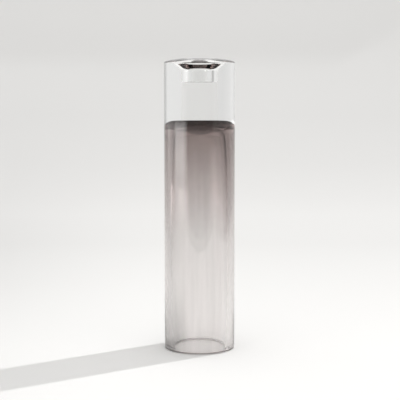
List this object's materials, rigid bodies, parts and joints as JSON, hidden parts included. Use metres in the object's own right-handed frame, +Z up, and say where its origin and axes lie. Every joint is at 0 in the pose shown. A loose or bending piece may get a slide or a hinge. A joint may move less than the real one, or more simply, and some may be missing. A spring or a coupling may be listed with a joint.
{
  "type": "glass cylinder vase",
  "caption": "Tall cylindrical glass vase standing on its open mouth, smoky inside and fading downwards, with a solid clear head that holds a candle socket.",
  "frame": {"origin": "centre of the open mouth, on the surface that the vase stands on", "axes": "+Z up along the vase's axis, from the mouth to the solid head; X and Y are free, because the vase is round"},
  "size_m": [0.062, 0.062, 0.2559],
  "materials": {
    "clear_glass": "clear, fire-polished",
    "smoky_glass": "smoky grey-brown, polished, fading towards the mouth"
  },
  "bodies": {
    "root": {"clear_casing": "clear_glass", "smoke_lining": "smoky_glass"}
  },
  "joints": []
}
